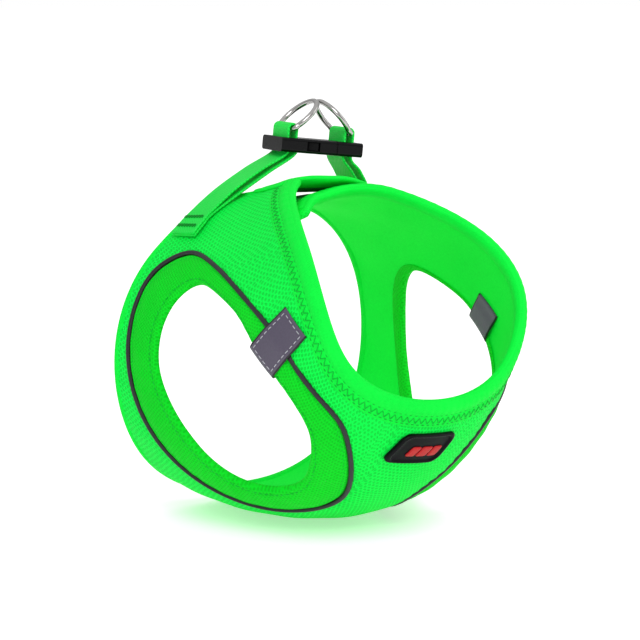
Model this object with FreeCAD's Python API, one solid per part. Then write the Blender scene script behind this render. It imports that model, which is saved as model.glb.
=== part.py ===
import FreeCAD, Part
import math
import os

V = FreeCAD.Vector

# Step-in pet harness vest, closed and standing on its belly panel. Millimetres.
# +Z up, the neck opening faces -Y, the body opening faces +Y, "right" is the
# wearer's right, the -X side. The finished pieces are moved so that the origin is
# the middle of the flat spot that the belly rests on.

# ---------------------------------------------------------------- driving sizes
# The vest's skin is one smooth closed tube with four girth rings, hem to neck.
# Each ring: half width right and left, y at belly, side and back, z at belly and
# back, and how square the belly side is (1 = elliptical).
CHEST_HALF = 98.0             # widest half width of the rings
BACK_HEIGHT = 181.0           # height of the rings at the middle of the back
GIRTH_RINGS = [
    dict(right=CHEST_HALF, left=CHEST_HALF - 10, y=(62, 62, 52),
         z=(3, BACK_HEIGHT - 4), square=0.85),
    dict(right=CHEST_HALF, left=CHEST_HALF - 6, y=(10, 25, 34),
         z=(-7, BACK_HEIGHT), square=0.80),
    dict(right=CHEST_HALF - 6, left=CHEST_HALF - 6, y=(-82, -42, 18),
         z=(-9, BACK_HEIGHT + 4), square=0.85),
    dict(right=CHEST_HALF - 24, left=CHEST_HALF - 30, y=(-104, -90, 8),
         z=(79, BACK_HEIGHT + 8), square=0.90),
]
REST_SPOT = V(0, 15, 0)       # middle of the flat spot, in the rings' own frame
BACK_SQUARE = 0.95            # squareness of the back half of every ring
RING_POLES = 12               # control points round one ring
CHEST_SKEW = 8.0              # degrees the chest strip sits round to the right

LINING_THICK = 1.35
MESH_THICK = 2.5
TRIM_THICK = 2.3
SEAM_GAP = 0.05               # clearance between layers sewn to each other
NECK_BAND_WIDTH = 14.0
HEM_BAND_WIDTH = 5.0
BAND_PROUD = 0.7              # how far a binding stands past the layers it wraps

# Leg opening and its piping, as (degrees from the belly line, part of the way
# from hem to neck). Both are closed smooth lines.
LEG_EDGE = [(118, 0.46), (106, 0.65), (89, 0.74), (65, 0.815), (45, 0.80),
            (32, 0.66), (40, 0.50), (63, 0.37), (89, 0.265), (110, 0.31)]
PIPING_LINE = [(131, 0.33), (121, 0.58), (100, 0.77), (74, 0.865), (38, 0.885),
               (16, 0.70), (22, 0.48), (44, 0.30), (70, 0.15), (97, 0.09), (122, 0.12)]
PIPING_DIAMETER = 2.8
PIPING_CHANNEL = 3.6          # gap between mesh and trim that the piping lies in
TRIM_SETBACK = 0.75           # more of that gap on the trim side, which is cut aslant

TAB_WIDTH = 20.0              # reflective tab, along the leg edge
TAB_REACH = 27.0              # from the leg edge outwards over the piping
TAB_ANGLE = 88.0              # where it crosses, degrees from the belly line
TAB_THICK = 0.9

PATCH_LENGTH = 34.0
PATCH_HEIGHT = 17.0
PATCH_THICK = 1.8
EMBLEM_RISE = 0.5
LABEL_LENGTH = 36.0
LABEL_WIDTH = 22.0
LABEL_THICK = 0.4

FLAP_FRONT = 2.0              # y of the back flap's front edge
FLAP_WIDTH = 23.0
FLAP_ROOT = -24.0             # x where the right wing ends and its flap begins
FLAP_TIP = 31.0
FLAP_THICK = 2.2
FLAP_SEAM = 8.0
TAPE_THICK = 0.8
TAPE_MARGIN = 2.5
HINGE_GAP = 0.4               # between pieces that move against each other

WEB_WIDTH = 20.0
WEB_THICK = 1.4
SLOT_CLEAR = 0.6              # webbing to slot end, each side
SLOT_LENGTH = 7.2
BUCKLE_RAIL = 2.4
BUCKLE_END_BAR = 4.0
BUCKLE_THICK = 8.0
BUCKLE_SPREAD = 35.0          # distance between the two webbing slots
BUCKLE_LIFT = 23.0            # buckle above the rings at the back
BUCKLE_SPOT = V(15, 26, BACK_HEIGHT + BUCKLE_LIFT)
BUCKLE_YAW = -14.0
BUCKLE_ROLL = 6.0
PRONG_THICK = 2.4
PRONG_OFFSET = 7.4            # prong arm's middle from the buckle's middle
PRONG_HEIGHT = 4.2
SOCKET_DEPTH = 19.5
MOUTH_X = 9.0                 # socket's mouth from the buckle's middle

RING_WIRE = 3.0
RING_INSIDE = 20.0            # straight bar inside the D
RING_HEIGHT = 22.4            # bar's middle to the top of the bow's middle
RING_ABOVE = 9.0              # bar's middle above the buckle's middle
RING_PLAY = 0.35              # webbing to bar
RING_REST_GAP = 3.6           # between the two bows' middles at rest

BARTACK = (2.0, 15.0, 0.5)
TACK_GAP = 1.7                # clearance over the curved webbing


# ------------------------------------------------------------------- vest's skin
def signed_power(value, power):
    return math.copysign(abs(value) ** power, value)


def ring_poles(ring):
    """Control points of one girth ring, from the back round the right side."""
    low, high = ring["z"]
    belly_y, side_y, back_y = ring["y"]
    points = []
    for k in range(RING_POLES):
        angle = math.radians(360.0 * k / RING_POLES - 180)
        across, down = math.sin(angle), math.cos(angle)
        square = ring["square"] if down > 0 else BACK_SQUARE
        half = ring["right"] if across < 0 else ring["left"]
        end_y = belly_y if down > 0 else back_y
        points.append(V(half * signed_power(across, square),
                        side_y * across ** 2 + end_y * down ** 2,
                        (low + high) / 2 - (high - low) / 2 * signed_power(down, square)))
    return points


def ring_surface(rows):
    """Smooth sheet through rows of ring poles, closed round the girth."""
    surface = Part.BSplineSurface()
    knots = list(range(RING_POLES + 1))
    ends = [len(rows), len(rows)]
    net = [[row[k] for row in rows] for k in range(RING_POLES)]
    surface.buildFromPolesMultsKnots(net, [1] * len(knots), ends, knots, [0, 1],
                                     True, False, 3, len(rows) - 1)
    return surface


BASE_ROWS = [ring_poles(ring) for ring in GIRTH_RINGS]
BASE = ring_surface(BASE_ROWS)


def girth_parameter(degrees):
    """Parameter round the ring for an angle from the belly line, right negative."""
    return ((degrees + 180.0) * RING_POLES / 360.0 - 1.0) % RING_POLES


def outward(u, v):
    normal = BASE.normal(u, v)
    point = BASE.value(u, v)
    middle = V(0, point.y + 40, 95)
    return normal if normal.dot(point - middle) > 0 else normal * -1


def on_skin(degrees, along, offset=0.0):
    """Point of the skin moved outwards by offset."""
    u = girth_parameter(degrees)
    return BASE.value(u, along) + outward(u, along) * offset


def offset_rows(offset):
    rows = []
    for j, row in enumerate(BASE_ROWS):
        along = j / (len(BASE_ROWS) - 1.0)
        rows.append([pole + outward((k - 1.0) % RING_POLES, along) * offset
                     for k, pole in enumerate(row)])
    return rows


def sewn(faces):
    shell = Part.makeShell(faces)
    shell.sewShape()
    solid = Part.makeSolid(Part.Shell(shell.Faces))
    if solid.Volume < 0:
        solid.reverse()
    return solid


def skin_layer(inner, outer):
    """Whole tube of the vest between two offsets from the skin."""
    low, high = offset_rows(inner), offset_rows(outer)
    sheets = [ring_surface(low), ring_surface(high),
              ring_surface([low[0], high[0]]), ring_surface([low[-1], high[-1]])]
    return sewn([sheet.toShape() for sheet in sheets])


# ------------------------------------------------------------- strips and outlines
def smooth_curve(points, closed):
    curve = Part.BSplineCurve()
    curve.interpolate(points, PeriodicFlag=closed)
    return curve.toShape()


def strip(corners, closed):
    """Closed solid whose section's corners follow the given point lists."""
    edges = [smooth_curve(points, closed) for points in corners]
    faces = [Part.makeRuledSurface(a, b) for a, b in zip(edges, edges[1:] + edges[:1])]
    if not closed:
        for end in (0, -1):
            outline = [points[end] for points in corners]
            faces.append(Part.Face(Part.makePolygon(outline + outline[:1])))
    return sewn(faces)


def edge_band(start, direction, width, inner, outer):
    """Ring of binding along the hem (start 0) or the neck edge (start 1)."""
    corners = [[], [], [], []]
    for step in range(48):
        degrees = 7.5 * step - 180
        along, gone = start, 0.0
        here = on_skin(degrees, along)
        while gone < width:
            along += direction * 0.002
            there = on_skin(degrees, along)
            gone += (there - here).Length
            here = there
        lip = start - direction * 0.012
        for corner, (place, offset) in zip(corners, ((lip, inner), (lip, outer),
                                                     (along, outer), (along, inner))):
            corner.append(on_skin(degrees, place, offset))
    return strip(corners, True)


def chest_turn(degrees):
    """Belly-line angle once the chest strip is turned to where it sits."""
    return degrees - CHEST_SKEW * math.cos(math.radians(degrees) / 2) ** 2


def outline_points(outline, side, offset=0.0, count=72):
    """Points of a closed outline on the skin, evenly spaced in its parameter."""
    flat = [V(side * degrees, along * 100, 0) for degrees, along in outline]
    curve = Part.BSplineCurve()
    curve.interpolate(flat, PeriodicFlag=True)
    first, last = curve.FirstParameter, curve.LastParameter
    points = []
    for k in range(count):
        spot = curve.value(first + (last - first) * k / count)
        points.append(on_skin(chest_turn(spot.x), spot.y / 100, offset))
    return points


def shifted(outline, side, distance):
    """Outline moved sideways on the skin: positive makes the opening larger."""
    points = outline_points(outline, side)
    lifted = outline_points(outline, side, 1.0)
    middle = sum(points, V(0, 0, 0)) * (1.0 / len(points))
    moved = []
    for k, point in enumerate(points):
        run = points[(k + 1) % len(points)] - points[k - 1]
        beside = run.cross(lifted[k] - point).normalize()
        if beside.dot(point - middle) < 0:
            beside = beside * -1
        moved.append(point + beside * distance)
    return moved


def opening_cutter(points, side):
    """Cone from inside the vest through the outline to beyond the flank."""
    apex = V(side * -16.0, -10.0, 92.0)
    far = side * (CHEST_HALF + 27)
    seen = []
    for point in points:
        ray = point - apex
        seen.append(apex + ray * ((far - apex.x) / ray.x))
    outline = Part.Wire([smooth_curve(seen, True)])
    return Part.makeLoft([Part.Vertex(apex), outline], True, True)


def prism(centre, along, across, length, width, depth):
    """Block on its centre, length along, width across, depth through."""
    through = along.cross(across).normalize()
    corner = centre - along * (length / 2) - across * (width / 2) - through * (depth / 2)
    outline = [corner, corner + along * length, corner + along * length + across * width,
               corner + across * width]
    return Part.Face(Part.makePolygon(outline + outline[:1])).extrude(through * depth)


def tangent_frame(degrees, along, lean=0.0):
    """Point, girth direction, hem-to-neck direction and normal on the skin."""
    point = on_skin(degrees, along)
    normal = outward(girth_parameter(degrees), along)
    girth = on_skin(degrees + 1, along) - on_skin(degrees - 1, along)
    girth = (girth - normal * girth.dot(normal)).normalize()
    up = normal.cross(girth)
    if up.dot(on_skin(degrees, min(along + 0.01, 1.0)) - point) < 0:
        up = up * -1
    turn = math.radians(lean)
    return (point, girth * math.cos(turn) + up * math.sin(turn),
            up * math.cos(turn) - girth * math.sin(turn), normal)


# --------------------------------------------------------------------- vest panels
TOP_OF_MESH = SEAM_GAP + MESH_THICK
floor_block = Part.makeBox(400, 400, 50, V(-200, -200, -50))
neck_band = edge_band(1.0, -1, NECK_BAND_WIDTH, -LINING_THICK - BAND_PROUD,
                      TOP_OF_MESH + BAND_PROUD)
hem_band = edge_band(0.0, 1, HEM_BAND_WIDTH, -LINING_THICK - BAND_PROUD,
                     TOP_OF_MESH + BAND_PROUD)
piping_points = {side: outline_points(PIPING_LINE, side) for side in (-1, 1)}
edge_points = {side: outline_points(LEG_EDGE, side) for side in (-1, 1)}

mesh = skin_layer(SEAM_GAP, TOP_OF_MESH)
lining = skin_layer(-LINING_THICK, 0.0)
trim_layer = skin_layer(SEAM_GAP, SEAM_GAP + TRIM_THICK)
mesh = mesh.cut(neck_band).cut(hem_band).cut(floor_block)
lining = lining.cut(neck_band).cut(hem_band)
leg_trim = {}
inset = PIPING_CHANNEL / 2 + TRIM_SETBACK
for side in (-1, 1):
    wide = opening_cutter(shifted(PIPING_LINE, side, PIPING_CHANNEL / 2), side)
    narrow = opening_cutter(shifted(PIPING_LINE, side, -inset), side)
    opening = opening_cutter(edge_points[side], side)
    mesh = mesh.cut(wide)
    lining = lining.cut(opening)
    leg_trim[side] = trim_layer.common(narrow).cut(opening)

PIECES = {}
WING_GAP = 0.6                # between the right wing's end and what lies beside it
wing_gap = Part.makeBox(WING_GAP, 200, 60,
                        V(FLAP_ROOT - WING_GAP / 2, -60, BACK_HEIGHT - 41))
SPLIT_Z = 95.0
SPLIT_Y = 8.0
low_front = Part.makeBox(300, 150, SPLIT_Z + 20, V(-150, SPLIT_Y - 150, -20))
low_back = Part.makeBox(300, 120, SPLIT_Z + 20, V(-150, SPLIT_Y, -20))
high_right = Part.makeBox(150 + FLAP_ROOT, 300, 150, V(-150, -180, SPLIT_Z))
high_left = Part.makeBox(150 - FLAP_ROOT, 300, 150, V(FLAP_ROOT, -180, SPLIT_Z))
mesh = mesh.cut(wing_gap)
PIECES["mesh_chest"] = mesh.common(low_front)
PIECES["mesh_belly_band"] = mesh.common(low_back)
PIECES["mesh_wing_right"] = mesh.common(high_right)
PIECES["mesh_wing_left"] = mesh.common(high_left)
lining = lining.cut(wing_gap)
half_right = Part.makeBox(150 + FLAP_ROOT, 400, 300, V(-150, -200, -50))
PIECES["lining_right"] = lining.common(half_right)
PIECES["lining_left"] = lining.cut(half_right)
PIECES["neck_binding"] = neck_band.cut(wing_gap)
PIECES["hem_binding"] = hem_band.cut(wing_gap).cut(floor_block)
SIDES = {-1: "right", 1: "left"}
for side, name in SIDES.items():
    PIECES["leg_trim_" + name] = leg_trim[side]


# ------------------------------------------------- piping, tabs, patch and label
def layer_patch(inner, outer, block):
    return skin_layer(inner, outer).common(block)


PIPING_LIFT = SEAM_GAP + PIPING_DIAMETER / 2
for side, name in SIDES.items():
    route = outline_points(PIPING_LINE, side, PIPING_LIFT, 40)
    base = outline_points(PIPING_LINE, side, 0.0, 40)
    corners = [[] for k in range(8)]
    for k, point in enumerate(route):
        normal = (point - base[k]).normalize()
        run = (route[(k + 1) % len(route)] - route[k - 1]).normalize()
        beside = run.cross(normal).normalize()
        for j, corner in enumerate(corners):
            turn = math.radians(45 * j)
            reach = normal * math.cos(turn) + beside * math.sin(turn)
            corner.append(point + reach * (PIPING_DIAMETER / 2))
    PIECES["piping_" + name] = strip(corners, True)

TAB_INNER = max(TOP_OF_MESH, PIPING_LIFT + PIPING_DIAMETER / 2) + 3 * SEAM_GAP
TAB_UNDER = -LINING_THICK - SEAM_GAP
for side, name in SIDES.items():
    height = on_skin(side * TAB_ANGLE, 0.75).z
    front = [p for p in edge_points[side] if p.y < -20]
    edge = min(front, key=lambda p: abs(p.z - height))
    seam = min(piping_points[side], key=lambda p: (p - edge).Length)
    normal = outward(*BASE.parameter(edge))
    out = seam - edge
    out = (out - normal * out.dot(normal)).normalize()
    beside = normal.cross(out)
    over = prism(edge + out * (TAB_REACH / 2 - TAB_THICK), out, beside,
                 TAB_REACH, TAB_WIDTH, 60)
    under = prism(edge + out * (TAB_REACH * 0.4 - TAB_THICK), out, beside,
                  TAB_REACH * 0.8, TAB_WIDTH, 60)
    fold = prism(edge - out * (TAB_THICK * 1.5), out, beside, TAB_THICK, TAB_WIDTH, 60)
    tab = layer_patch(TAB_INNER, TAB_INNER + TAB_THICK, over.fuse(fold))
    tab = tab.fuse(layer_patch(TAB_UNDER - TAB_THICK, TAB_UNDER, under.fuse(fold)))
    tab = tab.fuse(layer_patch(TAB_UNDER - TAB_THICK, TAB_INNER + TAB_THICK, fold))
    tab = tab.cut(leg_trim[side]).cut(lining).cut(PIECES["neck_binding"])
    PIECES["reflective_tab_" + name] = tab.removeSplitter()

PATCH_SPOT = (chest_turn(0.0), 0.885)
point, girth, up, normal = tangent_frame(*PATCH_SPOT)
patch_inner = TOP_OF_MESH + SEAM_GAP
patch_block = prism(point, girth, up, PATCH_LENGTH, PATCH_HEIGHT, 30)
emblem_block = prism(point, girth, up, PATCH_LENGTH - 12, PATCH_HEIGHT - 9, 30)
PIECES["patch_base"] = layer_patch(patch_inner, patch_inner + PATCH_THICK, patch_block)
PIECES["patch_emblem"] = layer_patch(patch_inner + PATCH_THICK + SEAM_GAP,
                                     patch_inner + PATCH_THICK + EMBLEM_RISE, emblem_block)

point, girth, up, normal = tangent_frame(chest_turn(-4.0), 0.55)
label_block = prism(point, girth, up, LABEL_WIDTH, LABEL_LENGTH, 20)
PIECES["care_label"] = layer_patch(TAB_UNDER - LABEL_THICK, TAB_UNDER, label_block)

# ------------------------------------------------------------ back flap and tapes
flap_middle = FLAP_FRONT + FLAP_WIDTH / 2
LOOP_INNER = TOP_OF_MESH + BAND_PROUD + SEAM_GAP
HOOK_INNER = LOOP_INNER + TAPE_THICK + HINGE_GAP
FLAP_INNER = HOOK_INNER + TAPE_THICK + SEAM_GAP


def back_block(x_from, x_to, margin):
    return Part.makeBox(x_to - x_from, FLAP_WIDTH - 2 * margin, 60,
                        V(x_from, FLAP_FRONT + margin, BACK_HEIGHT - 31))


flap_back = FLAP_ROOT + HINGE_GAP
PIECES["back_flap"] = layer_patch(FLAP_INNER, FLAP_INNER + FLAP_THICK,
                                  back_block(flap_back, FLAP_TIP, 0))
PIECES["hook_tape"] = layer_patch(HOOK_INNER, HOOK_INNER + TAPE_THICK,
                                  back_block(flap_back + 4, FLAP_TIP - 3, TAPE_MARGIN))
PIECES["loop_tape"] = layer_patch(LOOP_INNER, LOOP_INNER + TAPE_THICK,
                                  back_block(flap_back + 2, FLAP_TIP - 3, TAPE_MARGIN))
PIECES["loop_tape"] = PIECES["loop_tape"].cut(neck_band)
PIECES["flap_seam"] = layer_patch(LOOP_INNER, FLAP_INNER + FLAP_THICK,
                                  back_block(FLAP_ROOT - FLAP_SEAM, FLAP_ROOT, 0))
PIECES["flap_seam"] = PIECES["flap_seam"].cut(neck_band)

# ---------------------------------------------------------------- buckle assembly
TOP_PLACE = FreeCAD.Placement(BUCKLE_SPOT, FreeCAD.Rotation(V(0, 0, 1), BUCKLE_YAW))
TOP_PLACE = TOP_PLACE.multiply(
    FreeCAD.Placement(V(0, 0, 0), FreeCAD.Rotation(V(0, 1, 0), BUCKLE_ROLL)))


def placed(shape):
    moved = shape.copy()
    moved.Placement = TOP_PLACE.multiply(moved.Placement)
    return moved


def block(x, y, z):
    """Box between two x, with its full width in y and height in z on the middle."""
    return Part.makeBox(x[1] - x[0], y, z, V(x[0], -y / 2, -z / 2))


def rounded(shape, radius):
    edges = [e for e in shape.Edges if abs(e.tangentAt(e.FirstParameter).x) > 0.99]
    return shape.makeFillet(radius, edges)


SLOT_X = BUCKLE_SPREAD / 2
BUCKLE_WIDTH = WEB_WIDTH + 2 * (SLOT_CLEAR + BUCKLE_RAIL)
BUCKLE_END = SLOT_X + SLOT_LENGTH / 2 + BUCKLE_END_BAR
slot_width = WEB_WIDTH + 2 * SLOT_CLEAR


def end_frame(x_from, x_to):
    frame = rounded(block((x_from, x_to), BUCKLE_WIDTH, BUCKLE_THICK), 1.8)
    middle = math.copysign(SLOT_X, x_from + x_to)
    gap = (middle - SLOT_LENGTH / 2, middle + SLOT_LENGTH / 2)
    return frame.cut(block(gap, slot_width, BUCKLE_THICK + 2))


cavity_width = 2 * (PRONG_OFFSET + PRONG_THICK / 2) + 4.6
cavity_height = PRONG_HEIGHT + 0.8
window = (MOUTH_X - SOCKET_DEPTH + 1.0, MOUTH_X - SOCKET_DEPTH + 9.0)
socket = end_frame(-BUCKLE_END, MOUTH_X)
socket = socket.cut(block((MOUTH_X - SOCKET_DEPTH, MOUTH_X + 1), cavity_width, cavity_height))
socket = socket.cut(block(window, BUCKLE_WIDTH + 2, cavity_height))
PIECES["buckle_socket"] = placed(socket)

plug_from = MOUTH_X + HINGE_GAP
plug = end_frame(plug_from, BUCKLE_END)
tongue = block((MOUTH_X - SOCKET_DEPTH + 3, plug_from), 4.0, PRONG_HEIGHT)
PIECES["buckle_plug"] = placed(plug.fuse(tongue))

head_from = MOUTH_X - SOCKET_DEPTH + 1.6
head_to = head_from + 6.4
for side, name in ((-1, "front"), (1, "rear")):
    inner_y, outer_y = PRONG_OFFSET - PRONG_THICK / 2, PRONG_OFFSET + PRONG_THICK / 2
    barb_y = BUCKLE_WIDTH / 2 - 0.3
    outline = [(MOUTH_X, inner_y), (head_from, inner_y), (head_from, outer_y),
               (head_to, barb_y), (head_to + 0.6, outer_y), (MOUTH_X, outer_y)]
    corners = [V(x, side * y, -PRONG_HEIGHT / 2) for x, y in outline]
    face = Part.Face(Part.makePolygon(corners + corners[:1]))
    PIECES["buckle_prong_" + name] = placed(face.extrude(V(0, 0, PRONG_HEIGHT)))

# ------------------------------------------------------------------------ D-rings
BAR_HALF = RING_INSIDE / 2 + RING_WIRE / 2
BOW_START = 3.0
bow_rise = RING_HEIGHT - BOW_START
BOW_RADIUS = (BAR_HALF ** 2 + bow_rise ** 2) / (2 * bow_rise)
RING_REACH = SLOT_X - RING_REST_GAP / 2
RING_LEAN = math.degrees(math.asin(RING_REACH / RING_HEIGHT))


def d_ring():
    """D in the YZ plane, its straight bar on the Y axis and its bow upwards."""
    wire = RING_WIRE / 2
    bar = Part.makeCylinder(wire, 2 * BAR_HALF, V(0, -BAR_HALF, 0), V(0, 1, 0))
    middle_z = RING_HEIGHT - BOW_RADIUS
    drop = math.degrees(math.asin((middle_z - BOW_START) / BOW_RADIUS))
    bow = Part.makeTorus(BOW_RADIUS, wire, V(0, 0, 0), V(0, 0, 1), 0, 360, 180 + 2 * drop)
    bow.rotate(V(0, 0, 0), V(0, 0, 1), -drop)
    bow.rotate(V(0, 0, 0), V(1, 0, 0), 90)
    bow.rotate(V(0, 0, 0), V(0, 0, 1), 90)
    bow.translate(V(0, 0, middle_z))
    ring = bar.fuse(bow)
    for side in (-1, 1):
        foot = V(0, side * BAR_HALF, 0)
        ring = ring.fuse(Part.makeSphere(wire, foot))
        ring = ring.fuse(Part.makeCylinder(wire, BOW_START, foot, V(0, 0, 1)))
    return ring.removeSplitter()


for side, name in SIDES.items():
    ring = d_ring()
    ring.rotate(V(0, 0, 0), V(0, 1, 0), -side * RING_LEAN)
    ring.translate(V(side * SLOT_X, 0, RING_ABOVE))
    PIECES["d_ring_" + name] = placed(ring)

# ------------------------------------------------------------------------ webbing
BIGHT = RING_WIRE / 2 + RING_PLAY + WEB_THICK / 2
WIDTH_DIRECTION = TOP_PLACE.Rotation.multVec(V(0, 1, 0))
WEB_REST = TOP_OF_MESH + BAND_PROUD + WEB_THICK / 2 + 0.15


def web_strip(middle, widths):
    """Flat webbing whose middle line follows the points, its width along widths."""
    corners = [[], [], [], []]
    for k, point in enumerate(middle):
        before, after = middle[max(k - 1, 0)], middle[min(k + 1, len(middle) - 1)]
        run = (after - before).normalize()
        wide = (widths[k] - run * widths[k].dot(run)).normalize()
        thick = run.cross(wide) * (WEB_THICK / 2)
        wide = wide * (WEB_WIDTH / 2)
        for corner, place in zip(corners, (wide + thick, wide - thick,
                                           thick * -1 - wide, thick - wide)):
            corner.append(point + place)
    return strip(corners, False)


def bight_points(side, foot_z):
    """From the outer leg below the slot, round the ring's bar, to the inner leg."""
    points = [V(side * (SLOT_X + BIGHT), 0, foot_z)]
    points.append(V(side * (SLOT_X + BIGHT), 0, (foot_z + RING_ABOVE) / 2))
    for k in range(9):
        turn = math.radians(22.5 * k)
        points.append(V(side * (SLOT_X + BIGHT * math.cos(turn)), 0,
                        RING_ABOVE + BIGHT * math.sin(turn)))
    points.append(V(side * (SLOT_X - BIGHT), 0, (foot_z + RING_ABOVE) / 2))
    points.append(V(side * (SLOT_X - BIGHT), 0, foot_z))
    return [TOP_PLACE.multVec(point) for point in points]


def along_skin(degrees, along):
    """Unit direction across the webbing where it lies flat on a wing."""
    way = on_skin(degrees, along + 0.05) - on_skin(degrees, along - 0.05)
    girth = on_skin(degrees + 1, along) - on_skin(degrees - 1, along)
    way = (way - girth * (way.dot(girth) / girth.dot(girth))).normalize()
    return way if way.dot(WIDTH_DIRECTION) > 0 else way * -1


# where each strap lies on its wing: (degrees, along) from the free end upwards
LANDINGS = {-1: [(-137, 0.20), (-143, 0.20), (-149, 0.20)],
            1: [(136, 0.40), (142, 0.40), (148, 0.40)]}
FOOT_Z = -BUCKLE_THICK / 2 - 1.0
FOOT_GAP = 2.4                # loop webbing to tail webbing under the buckle
for side, name in SIDES.items():
    bight = bight_points(side, FOOT_Z)
    legs = {}
    for leg, lift in ((0, WEB_REST + WEB_THICK + SEAM_GAP), (-1, WEB_REST)):
        landing = [on_skin(degrees, along, lift) for degrees, along in LANDINGS[side]]
        top = bight[leg]
        reach = top - landing[-1]
        bulge = V(side * (3.5 if leg == 0 else 0.5), 0, 2.0 if leg == 0 else 0.3)
        middle = [landing[-1] + reach * 0.35 + bulge, landing[-1] + reach * 0.7 + bulge * 0.8]
        legs[leg] = landing + middle + [top]
    lying = [along_skin(degrees, along) for degrees, along in LANDINGS[side]]
    turning = [lying[-1] * (1 - t) + WIDTH_DIRECTION * t for t in (0.35, 0.7)]
    widths = lying + turning + [WIDTH_DIRECTION]
    PIECES["strap_loop_" + name] = web_strip(bight, [WIDTH_DIRECTION] * len(bight))
    drop = TOP_PLACE.Rotation.multVec(V(0, 0, -1)) * FOOT_GAP
    tails = [web_strip(legs[leg][:-1] + [legs[leg][-1] + drop], widths) for leg in (0, -1)]
    PIECES["strap_tail_" + name] = Part.makeCompound(tails)
    tacks = []
    wide, long, high = BARTACK
    for degrees, along in (LANDINGS[side][0], LANDINGS[side][1]):
        point, girth, up, normal = tangent_frame(degrees, along)
        spot = point + normal * (WEB_REST + 1.5 * WEB_THICK + SEAM_GAP + high / 2 + TACK_GAP)
        tacks.append(prism(spot + girth * side, up, girth, long, wide, high))
    PIECES["bartacks_" + name] = Part.makeCompound(tacks)

os.makedirs("parts", exist_ok=True)
for name, shape in PIECES.items():
    solids = [solid for solid in shape.Solids if solid.Volume > 1.0]
    piece = solids[0] if len(solids) == 1 else Part.makeCompound(solids)
    piece.translate(REST_SPOT * -1)
    print(name, len(solids), round(piece.Volume), piece.isValid())
    piece.exportStep("parts/" + name + ".step")
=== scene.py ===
import math

import bmesh
import bpy
import numpy as np
from mathutils import Matrix, Vector


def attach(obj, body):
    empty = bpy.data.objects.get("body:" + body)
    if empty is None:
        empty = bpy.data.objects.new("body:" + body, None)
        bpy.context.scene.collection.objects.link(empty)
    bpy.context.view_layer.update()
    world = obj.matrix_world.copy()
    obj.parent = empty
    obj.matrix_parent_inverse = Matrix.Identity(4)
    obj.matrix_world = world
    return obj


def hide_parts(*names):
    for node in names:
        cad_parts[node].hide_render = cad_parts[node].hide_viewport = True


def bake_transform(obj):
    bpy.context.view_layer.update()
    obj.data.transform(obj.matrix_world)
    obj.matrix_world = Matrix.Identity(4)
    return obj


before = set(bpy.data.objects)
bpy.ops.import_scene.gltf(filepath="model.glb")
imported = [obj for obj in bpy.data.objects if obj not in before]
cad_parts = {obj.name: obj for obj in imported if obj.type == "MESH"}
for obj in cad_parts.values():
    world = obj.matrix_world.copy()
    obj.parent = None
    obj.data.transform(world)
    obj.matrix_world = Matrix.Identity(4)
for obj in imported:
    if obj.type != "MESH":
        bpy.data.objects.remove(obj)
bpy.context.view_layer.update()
scene = bpy.context.scene
MM = 0.001


# ------------------------------------------------------------------ table and light
# The vest stands on a pale matt table in a white light tent: one large soft lamp over
# it and to the wearer's right, a weaker one opposite, and a long lens a little above
# the height of its middle.
FLOOR_SIZE = 80.0
REST_Y = -0.015


def add(tree, kind, fed=None, **settings):
    """A shader node with its settings; each input is given a value or another node's output."""
    node = tree.nodes.new("ShaderNode" + kind)
    for key, value in settings.items():
        setattr(node, key, value)
    for socket, value in (fed or {}).items():
        if isinstance(value, bpy.types.NodeSocket):
            tree.links.new(value, node.inputs[socket])
        else:
            node.inputs[socket].default_value = value
    return node


table_top = bpy.data.materials.new("table_top")
table_top.use_nodes = True
tree = table_top.node_tree
shader = tree.nodes["Principled BSDF"]
paper = add(tree, "TexNoise", {"Scale": 90.0, "Detail": 3.0})
tint = add(tree, "Mix", {0: paper.outputs["Fac"], 6: (0.93, 0.93, 0.93, 1), 7: (0.97, 0.97, 0.97, 1)},
           data_type="RGBA")
tree.links.new(tint.outputs[2], shader.inputs["Base Color"])
shader.inputs["Roughness"].default_value = 0.9
shader.inputs["Specular IOR Level"].default_value = 0.1
shader.inputs["Emission Color"].default_value = (1, 1, 1, 1)
shader.inputs["Emission Strength"].default_value = 0.35
mesh = bpy.data.meshes.new("table")
half = FLOOR_SIZE / 2
mesh.from_pydata([(-half, -half, -0.0002), (half, -half, -0.0002), (half, half, -0.0002),
                  (-half, half, -0.0002)], [], [(0, 1, 2, 3)])
mesh.materials.append(table_top)
table = bpy.data.objects.new("table", mesh)
scene.collection.objects.link(table)

world = bpy.data.worlds.new("light_tent")
world.use_nodes = True
tree = world.node_tree
rays = add(tree, "LightPath")
place = add(tree, "TexCoord")
split = add(tree, "SeparateXYZ", {0: place.outputs["Generated"]})
overhead = add(tree, "MapRange", {0: split.outputs[2], 1: 0.0, 2: 0.9, 3: 0.42, 4: 1.0})
seen = add(tree, "Math", {0: overhead.outputs[0], 1: rays.outputs["Is Camera Ray"]}, operation="MAXIMUM")
tree.links.new(seen.outputs[0], tree.nodes["Background"].inputs["Strength"])
tree.nodes["Background"].inputs["Color"].default_value = (1, 1, 1, 1)
scene.world = world
scene.view_settings.view_transform = "Standard"

AIM = Vector((0, REST_Y, 0.096))
for name, spot, size, power in (("key_lamp", (-0.8, -1.1, 1.3), 0.9, 16.0),
                                ("fill_lamp", (1.3, -0.9, 0.8), 1.2, 5.0)):
    lamp = bpy.data.lights.new(name, "AREA")
    lamp.size = size
    lamp.energy = power
    stand = bpy.data.objects.new(name, lamp)
    stand.location = spot
    stand.rotation_mode = "QUATERNION"
    stand.rotation_quaternion = (Vector(spot) - AIM).to_track_quat("Z", "Y")
    scene.collection.objects.link(stand)

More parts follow.
